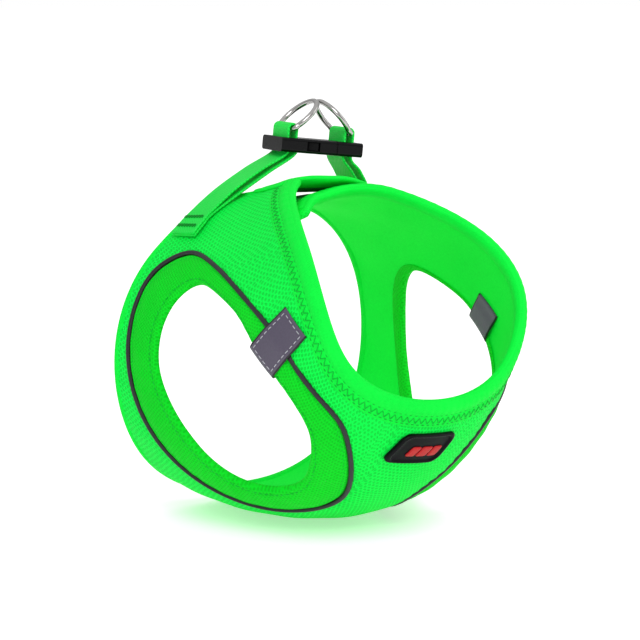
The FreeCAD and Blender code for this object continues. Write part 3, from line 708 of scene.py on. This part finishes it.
# ------------------------------------------------------------------- reflective tabs
# A grey reflective ribbon folded over the front edge of each leg opening, across the
# trim and the piping, with a dark woven border and pale stitches round its outer face.
def skin_spot(targets, turn, along):
    """Degrees and part of the way at which the cloth lies nearest to each target."""
    turn = np.full(targets.shape[:-1], float(turn))
    along = np.full(targets.shape[:-1], float(along))
    for step in range(14):
        gap = targets - bare_skin(turn, along)
        by_turn = bare_skin(turn + 0.5, along) - bare_skin(turn - 0.5, along)
        by_along = (bare_skin(turn, along + 0.004) - bare_skin(turn, along - 0.004)) / 0.008
        pairs = ((by_turn, by_turn), (by_turn, by_along), (by_along, by_along))
        tt, ta, aa = ((u * v).sum(-1) for u, v in pairs)
        gt, ga = (gap * by_turn).sum(-1), (gap * by_along).sum(-1)
        turn = turn + np.clip((gt * aa - ga * ta) / (tt * aa - ta ** 2), -8, 8)
        along = along + np.clip((ga * tt - gt * ta) / (tt * aa - ta ** 2), -0.08, 0.08)
    return turn, along


TAB_HALF, TAB_THICK = 10.0, 0.9
TAB_ROWS, TAB_COLUMNS, TAB_OUTER_ROWS = 60, 15, 36
DASH, DASH_PITCH = 2.3, 3.4
TAB_HEIGHT_SPOT = (88.0, 0.75)    # turn, part of the way hem to neck
FRONT_Y = -0.035                  # metres; the opening's edge ahead of this is its front
# (distance from the leg edge, lift) of the folded ribbon's middle, outer end first
TAB_LINE = ((29.5, 3.1), (26.0, 3.2), (22.0, 3.35), (18.0, 3.7), (14.0, 4.3), (10.0, 4.3), (6.0, 4.2),
            (2.5, 4.1), (0.2, 3.7), (-1.3, 2.6), (-2.0, 0.8), (-1.4, -1.6), (0.4, -2.9), (4.0, -3.2),
            (10.0, -3.1), (15.0, -2.4), (19.0, -2.2))
ribbon_edge = group("ribbon_border", (("Run", "NodeSocketVector", None),
                                      ("Half", "NodeSocketFloat", 0.0088)))
source, target = group_ends(ribbon_edge)
split = add(ribbon_edge, "SeparateXYZ", {0: source.outputs["Run"]})
off = add(ribbon_edge, "Math", {0: split.outputs[1]}, operation="ABSOLUTE")
border = add(ribbon_edge, "Math", {0: off.outputs[0], 1: source.outputs["Half"]},
             operation="GREATER_THAN")
beads = add(ribbon_edge, "TexVoronoi", {"Vector": source.outputs["Run"], "Scale": 1600.0})
ribbon_edge.links.new(border.outputs[0], target.inputs["Mask"])
ribbon_edge.links.new(beads.outputs["Distance"], target.inputs["Height"])
tab_ribbon = cloth("tab_ribbon", (0.075, 0.064, 0.096), (0.014, 0.013, 0.017), ribbon_edge,
                   {"Half": 0.0092}, 0.00005, 0.4, shine=0.3)
white_thread = thread_finish("white_thread", (0.40, 0.40, 0.44))
for side, name in SIDES.items():
    edge = skin(leg_loops[side][:, 0], leg_loops[side][:, 1])
    front = edge[:, 1] < FRONT_Y
    height = bare_skin(np.array(side * TAB_HEIGHT_SPOT[0]), np.array(TAB_HEIGHT_SPOT[1]))[2]
    k = np.where(front, np.abs(edge[:, 2] - height), 9.0).argmin()
    start, spot = edge[k], leg_loops[side][k]
    seam = skin(piping_loops[side][:, 0], piping_loops[side][:, 1])
    seam = seam[np.linalg.norm(seam - start, axis=1).argmin()]
    way = skin_way(spot[0], spot[1])
    out = unit(seam - start - way * np.dot(seam - start, way))
    beside = np.cross(way, out)

    def tab_points(gone, sideways, lift):
        targets = start + out * gone[..., None] * MM + beside * sideways[..., None] * MM
        turn, along = skin_spot(targets, *spot)
        return skin(turn, along, lift * MM), skin_way(turn, along)

    line = smooth_loop(TAB_LINE, TAB_ROWS, closed=False)
    slope = unit(np.gradient(line, axis=0))
    normal = np.stack([-slope[:, 1], slope[:, 0]], axis=1) * -1
    section = np.concatenate([line + normal * TAB_THICK / 2, (line - normal * TAB_THICK / 2)[::-1]])
    widths = np.linspace(-TAB_HALF, TAB_HALF, TAB_COLUMNS)
    gone, sideways = np.meshgrid(section[:, 0], widths, indexing="ij")
    lift = np.repeat(section[:, 1:2], TAB_COLUMNS, axis=1)
    points, _ = tab_points(gone, sideways, lift)
    faces = grid_faces(len(section), TAB_COLUMNS, True, False)
    faces.append(tuple(k * TAB_COLUMNS for k in range(len(section))))
    faces.append(tuple(k * TAB_COLUMNS + TAB_COLUMNS - 1 for k in range(len(section)))[::-1])
    run = np.stack([gone * MM, sideways * MM], axis=2)
    tab = build("tab_ribbon_" + name, points, faces, tab_ribbon, run)
    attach(tab, "vest")
    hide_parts("reflective_tab_" + name)
    top = line[:TAB_OUTER_ROWS]
    lines = []
    for place in (-7.6, 7.6):
        at = np.arange(1.2, 26.5, DASH_PITCH)
        fixed = np.full(len(at), place)
        lines.append((at, at + DASH, fixed, fixed))
    for place in (1.4, 27.6):
        at = np.arange(-6.4, 5.0, DASH_PITCH)
        fixed = np.full(len(at), place)
        lines.append((fixed, fixed, at, at + DASH))
    firsts, lasts, outs = [], [], []
    for g0, g1, b0, b1 in lines:
        for gone, sideways, kept in ((g0, b0, firsts), (g1, b1, lasts)):
            lift = np.interp(gone, top[::-1, 0], top[::-1, 1]) + TAB_THICK / 2 + 0.05
            spots, ways = tab_points(gone, sideways, lift)
            kept.append(spots)
        outs.append(ways)
    rows = stitches("tab_stitches_" + name, np.concatenate(firsts), np.concatenate(lasts),
                    np.concatenate(outs), 0.26 * MM, white_thread)
    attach(rows, "vest")


# --------------------------------------------------------------------- chest patch
# A soft black rubber badge with a raised rim, moulded in one piece and glued on beside
# the neck band. Its raised mark is three plain slanting bars in red.
def round_box(half_long, half_wide, radius, slant=0.0, count=96):
    """Outline of a box with round corners; slant moves its upper edge along, in mm."""
    corners = []
    for cx, cy, first in ((1, 1, 0), (-1, 1, 90), (-1, -1, 180), (1, -1, 270)):
        for step in range(7):
            turn = math.radians(first + 15 * step)
            corners.append((cx * (half_long - radius) + radius * math.cos(turn),
                            cy * (half_wide - radius) + radius * math.sin(turn)))
    corners = np.array(corners + corners[:1])
    gone = run_along(corners)
    at = np.linspace(0, gone[-1], count, endpoint=False)
    outline = np.stack([np.interp(at, gone, corners[:, k]) for k in (0, 1)], axis=1)
    outline[:, 0] += slant * outline[:, 1] / (2 * half_wide)
    return outline


def plate(name, spot, outline, profile, material, rise=None, middle=(0.0, 0.0)):
    """A piece laid on the cloth: its outline at each share of the profile, lifted so many mm."""
    centre, way = skin(spot[0], spot[1]), skin_way(np.array(spot[0]), np.array(spot[1]))
    girth = unit(bare_skin(np.array(spot[0] + 0.5), np.array(spot[1]))
                 - bare_skin(np.array(spot[0] - 0.5), np.array(spot[1])))
    up = np.cross(way, girth)
    flat = np.array([outline * share for share, lift in profile]) + np.array(middle)
    turn, along = skin_spot(centre + girth * flat[..., :1] * MM + up * flat[..., 1:] * MM, *spot)
    lift = np.array([lift for share, lift in profile])[:, None] * MM
    points = skin(turn, along, lift + (rise(turn, along) if rise else 0.0))
    rings, count = points.shape[:2]
    faces = grid_faces(rings, count, False, True)
    faces += [tuple(range(count - 1, -1, -1)), tuple((rings - 1) * count + k for k in range(count))]
    return build(name, points, faces, material, flat * MM)


def moulded(name, colour, rough, bump, scale, metallic=0.0, shine=0.5):
    """A moulded or metal finish with fine scuffs that change its gloss, in the object's own space."""
    material = bpy.data.materials.new(name)
    material.use_nodes = True
    tree = material.node_tree
    shader = tree.nodes["Principled BSDF"]
    place = add(tree, "TexCoord")
    noise = add(tree, "Group", node_tree=pile)
    tree.links.new(place.outputs["Object"], noise.inputs["Place"])
    noise.inputs["Grain"].default_value = scale
    darker = tuple(c * 0.8 for c in colour)
    tint = add(tree, "Mix", {0: noise.outputs["Tone"], 6: (*darker, 1), 7: (*colour, 1)},
               data_type="RGBA")
    tree.links.new(tint.outputs[2], shader.inputs["Base Color"])
    gloss = add(tree, "MapRange", {0: noise.outputs["Tone"], 1: 0.0, 2: 1.0,
                                   3: rough * 1.35, 4: rough * 0.8})
    tree.links.new(gloss.outputs[0], shader.inputs["Roughness"])
    relief = add(tree, "Bump", {"Height": noise.outputs["Fuzz"], "Distance": bump, "Strength": 1.0})
    tree.links.new(relief.outputs[0], shader.inputs["Normal"])
    shader.inputs["Metallic"].default_value = metallic
    shader.inputs["Specular IOR Level"].default_value = shine
    return material


PATCH_SPOT = (-8.0, 0.885)
PATCH_PROFILE = ((0.05, 3.9), (0.4, 3.9), (0.7, 3.9), (0.80, 3.9), (0.835, 4.1), (0.855, 4.7), (0.88, 4.95),
                 (0.94, 4.95), (0.975, 4.7), (1.0, 4.1), (1.0, 2.7), (0.9, 2.2), (0.5, 2.2), (0.05, 2.2))
black_rubber = moulded("black_rubber", (0.002, 0.0015, 0.003), 0.34, 0.00004, 1500.0, shine=0.09)
red_rubber = moulded("red_rubber", (0.46, 0.008, 0.010), 0.42, 0.00003, 1500.0, shine=0.25)
patch = plate("chest_patch", PATCH_SPOT, round_box(17.2, 9.0, 4.4, 8.0), PATCH_PROFILE, black_rubber,
              middle=(-1.2, 2.4))
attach(patch, "vest")
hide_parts("patch_base")
BAR_PROFILE = ((0.1, 4.75), (0.6, 4.75), (0.85, 4.7), (1.0, 4.4), (1.0, 3.7), (0.1, 3.7))
for place, half_long in ((-6.8, 2.7), (0.0, 3.2), (6.8, 2.7)):
    bar = plate("patch_mark_{:.0f}".format(place + 8), PATCH_SPOT, round_box(half_long, 2.9, 1.0, 3.2, 40),
                BAR_PROFILE, red_rubber, middle=(place + 0.8, 1.0))
    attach(bar, "vest")
    if place == 0.0:
        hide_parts("patch_emblem")


# --------------------------------------------------------------------- care label
# A blank white satin tape label sewn flat to the lining on the chest, with one pale
# pink square woven into it.
LABEL_SPOT = (-12.0, 0.55)
SATIN_WEAVE = {"Along": 0.0005, "Across": 0.0008}
# each label colour's darker copy is painted shade in the weave's hollows
satin = cloth("label_satin", (0.80, 0.80, 0.82), (0.66, 0.66, 0.70), weave, SATIN_WEAVE,
              0.00003, 0.35, sheen=0.2)
pink_satin = cloth("label_pink", (0.78, 0.42, 0.50), (0.66, 0.36, 0.42), weave, SATIN_WEAVE,
                   0.00003, 0.35)
LABEL_PROFILE = ((0.05, -1.95), (0.5, -1.95), (0.97, -1.95), (1.0, -1.8),
                 (0.97, -1.6), (0.5, -1.6), (0.05, -1.6))
label = plate("care_label_tape", LABEL_SPOT, round_box(11.0, 18.0, 0.6), LABEL_PROFILE, satin)
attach(label, "vest")
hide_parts("care_label")
square = plate("care_label_square", LABEL_SPOT, round_box(4.0, 4.0, 0.5, count=48),
               ((0.1, -2.1), (0.97, -2.1), (1.0, -2.0), (0.97, -1.9), (0.1, -1.9)), pink_satin,
               middle=(0.0, 9.0))
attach(square, "vest")


# ----------------------------------------------------------------- back flap and tapes
# The right wing goes on as a padded flap in the same knit, grooved round its edge, and
# closes over the left wing with hook tape under it and loop tape on the wing.
FLAP_SPOT = skin_spot(np.array([0.0015, -0.0030, 0.19]), -180.0, 0.7)
FLAP_SPOT = (float(FLAP_SPOT[0]), float(FLAP_SPOT[1]))
# (share of the outline, lift in mm): crowned top, a groove near the edge, flat underside
FLAP_PROFILE = ((0.05, 8.4), (0.2, 8.4), (0.35, 8.4), (0.5, 8.4), (0.64, 8.35), (0.74, 8.2),
                (0.82, 7.9), (0.86, 7.5), (0.90, 7.85), (0.96, 7.7), (0.99, 7.2), (1.0, 6.5),
                (0.985, 5.8), (0.94, 5.4), (0.8, 5.2), (0.65, 5.2), (0.5, 5.2), (0.35, 5.2),
                (0.2, 5.2), (0.05, 5.2))


def flap_rise(turn, along):
    """The flap is pulled straight between the wings, and its tip lies down on the left one."""
    pulled = 4.8 * np.exp(-((turn + 183) / 16) ** 2)
    return (0.8 * ease(-172, -161, turn) - pulled - 1.5 * ease(-190, -204, turn)) * MM


flap_outline = round_box(32.5, 13.4, 4.0, count=140)
flap = plate("back_flap_pad", FLAP_SPOT, flap_outline, FLAP_PROFILE, binding_knit, flap_rise)
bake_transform(flap)
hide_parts("back_flap", "flap_seam")
# the darker greens of both tapes are painted shade in the weave's hollows
looped = cloth("loop_pile", (0.01, 0.30, 0.05), (0.005, 0.18, 0.03), weave,
               {"Along": 0.0008, "Across": 0.0008}, 0.0003, 0.85, sheen=0.5)
hooked = cloth("hook_rows", (0.01, 0.26, 0.04), (0.005, 0.12, 0.02), weave,
               {"Along": 0.0012, "Across": 0.0012}, 0.0004, 0.5)
TAPE_SPOT = skin_spot(np.array([0.006, 0.0055, 0.19]), -180.0, 0.5)
TAPE_SPOT = (float(TAPE_SPOT[0]), float(TAPE_SPOT[1]))
# the same (share, lift) section for both tapes, from the underside at 0
TAPE_PROFILE = ((0.05, 0.8), (0.4, 0.8), (0.7, 0.8), (0.96, 0.75), (1.0, 0.4), (0.97, 0), (0.7, 0),
                (0.4, 0), (0.05, 0))


def left_wing_rise(turn, along):
    """Rise of the left wing for turns counted on past -180 from the right."""
    return wing_rise(turn + 360.0, along)


for name, body, half_long, half_wide, low, finish, rise in (
        ("hook_tape", "flap", 21.0, 4.6, 4.35, hooked, flap_rise),
        ("loop_tape", "vest", 25.0, 6.0, 2.6, looped, left_wing_rise)):
    profile = [(share, low + height) for share, height in TAPE_PROFILE]
    tape = plate(name + "_strip", TAPE_SPOT, round_box(half_long, half_wide, 1.5), profile, finish, rise)
    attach(tape, body)
    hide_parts(name)


# ------------------------------------------------------------------------- webbing
# Two lengths of 20 mm green nylon webbing, each doubled: sewn flat to a wing, up round
# the bar of its D-ring in the buckle's slot, and back down on itself.
TOP = (Matrix.Translation((0.015, 0.026 + REST_Y, 0.204)) @ Matrix.Rotation(math.radians(-14), 4, "Z")
       @ Matrix.Rotation(math.radians(6), 4, "Y"))


def on_buckle(points):
    """Points given in mm in the buckle's own frame, where x runs along the buckle."""
    return np.array([TOP @ Vector(p) for p in np.asarray(points, float) * MM])


WEB_HALF, WEB_THICK, RING_BAR, BAR_ABOVE, SLOT_X, BIGHT = 10.0, 1.4, 1.5, 9.0, 17.5, 2.55
WEB_REST = 4.1
LANDINGS = {-1: ((-139, 0.20), (-144, 0.20), (-149.5, 0.20)), 1: ((136, 0.40), (142, 0.40), (148, 0.40))}
# its darker green is painted shade in the weave's hollows
nylon = cloth("green_webbing", (0.0, 0.74, 0.06), (0.0, 0.46, 0.03), weave,
              {"Along": 0.0022, "Across": 0.0016}, 0.0003, 0.55, sheen=0.08, painted_glow=0.03, shine=0.25)
edge_turns = np.radians([180, 150, 120, 100, 90])
left_edge = np.stack([-WEB_HALF + 0.7 + 0.7 * np.cos(edge_turns), 0.7 * np.sin(edge_turns)], axis=1)
upper = np.concatenate([left_edge, [[x, 0.7] for x in (-6, -3, 0, 3, 6)], left_edge[::-1] * (-1, 1)])
web_section = np.concatenate([upper, (upper * (1, -1))[::-1][1:-1]]) * MM
across_buckle = np.array(TOP.to_3x3() @ Vector((0, 1, 0)))


def across_wing(turn, along):
    """Direction across the webbing where it lies flat on a wing."""
    way = unit(bare_skin(turn, along + 0.05) - bare_skin(turn, along - 0.05))
    girth = unit(bare_skin(turn + 1, along) - bare_skin(turn - 1, along))
    way = unit(way - girth * (way * girth).sum(-1, keepdims=True))
    return way * np.sign((way * across_buckle).sum(-1, keepdims=True))


for side, name in SIDES.items():
    legs = []
    landing = np.array(LANDINGS[side], float)
    lying = across_wing(landing[:, 0], landing[:, 1])
    lying = np.concatenate([lying, [lying[-1] * (1 - t) + across_buckle * t for t in (0.35, 0.7)]])
    for outer in (True, False):
        lift = (WEB_REST + (WEB_THICK + 0.1 if outer else 0.0)) * MM + wing_rise(landing[:, 0])
        foot = skin(landing[:, 0], landing[:, 1], lift)
        x = side * (SLOT_X + (BIGHT if outer else -BIGHT))
        reach = on_buckle([(x, 0, -5.0)])[0] - foot[-1]
        bulge = np.array([side * (2.2 if outer else 0.5), 0, 1.0 if outer else 0.3]) * MM
        rising = [foot[-1] + reach * 0.35 + bulge, foot[-1] + reach * 0.7 + bulge * 0.8]
        legs.append(np.concatenate([foot, rising]))
    turns = np.radians(np.arange(0, 181, 30))
    bight = [(side * (SLOT_X + BIGHT), 0, -5), (side * (SLOT_X + BIGHT), 0, 2)]
    bight += [(side * (SLOT_X + BIGHT * math.cos(t)), 0, BAR_ABOVE + BIGHT * math.sin(t)) for t in turns]
    bight += [(side * (SLOT_X - BIGHT), 0, 2), (side * (SLOT_X - BIGHT), 0, -5)]
    points = np.concatenate([legs[0], on_buckle(bight), legs[1][::-1]])
    widths = np.concatenate([lying, np.repeat(across_buckle[None], len(bight), axis=0), lying[::-1]])
    # the width directions ride along as three tiny extra coordinates
    both = smooth_loop(np.concatenate([points, widths * 1e-5], axis=1), 190, closed=False)
    path, widths = both[:, :3], unit(both[:, 3:])
    along_web = unit(np.gradient(path, axis=0))
    web = swept("webbing_" + name, path, np.cross(widths, along_web) * side, web_section, False, nylon)
    if side < 0:
        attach(web, "vest")
    else:
        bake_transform(web)
    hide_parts("strap_loop_" + name, "strap_tail_" + name)
    # bar tacks: tight zig-zags across the tail
    starts, ends, outs = [], [], []
    for gone in (5, 6, 12, 13):
        spot, way = path[gone], unit(np.cross(widths[gone], along_web[gone])) * side
        way = way * (1 if np.dot(way, spot - np.array([0, REST_Y, 0.09])) > 0 else -1)
        spot = spot + way * (WEB_THICK / 2 + 0.15) * MM
        for k in range(14):
            a, b = -7.8 + k * 1.2, -7.8 + (k + 1) * 1.2
            wave = along_web[gone] * 0.6 * MM * (1 if k % 2 else -1)
            starts.append(spot + widths[gone] * a * MM + wave)
            ends.append(spot + widths[gone] * b * MM - wave)
            outs.append(way)
    tacks = stitches("bar_tacks_" + name, starts, ends, outs, 0.32 * MM, dark_thread)
    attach(tacks, "vest")
    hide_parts("bartacks_" + name)


# -------------------------------------------------------------- side-release buckle
# Moulded black acetal: a socket, and a plug with two springy prongs, each with a slot
# for the webbing. Edges are rounded by the mould and the faces have a fine satin grain.
acetal = moulded("black_acetal", (0.002, 0.002, 0.0025), 0.24, 0.00002, 2500.0, shine=0.14)
for name in ("buckle_socket", "buckle_plug", "buckle_prong_front", "buckle_prong_rear"):
    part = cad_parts[name]
    part.data.materials.clear()
    part.data.materials.append(acetal)
    rounding = part.modifiers.new("mould_radius", "BEVEL")
    rounding.width = 0.85 * MM
    rounding.segments = 3
    rounding.limit_method = "ANGLE"
    rounding.angle_limit = math.radians(35)
    rounding.harden_normals = True


# ------------------------------------------------------------------------- D-rings
# Two welded 3 mm steel D-rings, polished and nickel plated, each hanging by its
# straight bar in a bight of webbing and leaning on the other one over the buckle.
nickel = moulded("polished_nickel", (0.44, 0.43, 0.42), 0.15, 0.000006, 3000.0, metallic=1.0)
BAR_HALF, BOW_START, RING_TALL = 11.5, 3.0, 22.4
bow_radius = (BAR_HALF ** 2 + (RING_TALL - BOW_START) ** 2) / (2 * (RING_TALL - BOW_START))
bow_middle = RING_TALL - bow_radius
bow_drop = math.asin((bow_middle - BOW_START) / bow_radius)
RING_LEAN = math.asin((SLOT_X - 1.8) / RING_TALL)
ring_line = [(y, 0.0) for y in np.linspace(-BAR_HALF + 1.2, BAR_HALF - 1.2, 14)]
ring_line += [(BAR_HALF - 0.35, 0.35), (BAR_HALF, 1.2), (BAR_HALF, 2.1)]
ring_line += [(bow_radius * math.cos(t), bow_middle + bow_radius * math.sin(t))
              for t in np.linspace(-bow_drop, math.pi + bow_drop, 60)]
ring_line += [(-BAR_HALF, 2.1), (-BAR_HALF, 1.2), (-BAR_HALF + 0.35, 0.35)]
for side, name in SIDES.items():
    lean = side * RING_LEAN
    hung = [(side * SLOT_X - z * math.sin(lean), y, BAR_ABOVE + z * math.cos(lean)) for y, z in ring_line]
    path = on_buckle(hung)
    flat_way = np.array(TOP.to_3x3() @ Vector((math.cos(lean), 0, math.sin(lean))))
    ring = swept("d_ring_wire_" + name, path, np.repeat(flat_way[None], len(path), axis=0),
                 ellipse(RING_BAR * MM, RING_BAR * MM, 20), True, nickel)
    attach(ring, "ring_" + name)
    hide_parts("d_ring_" + name)
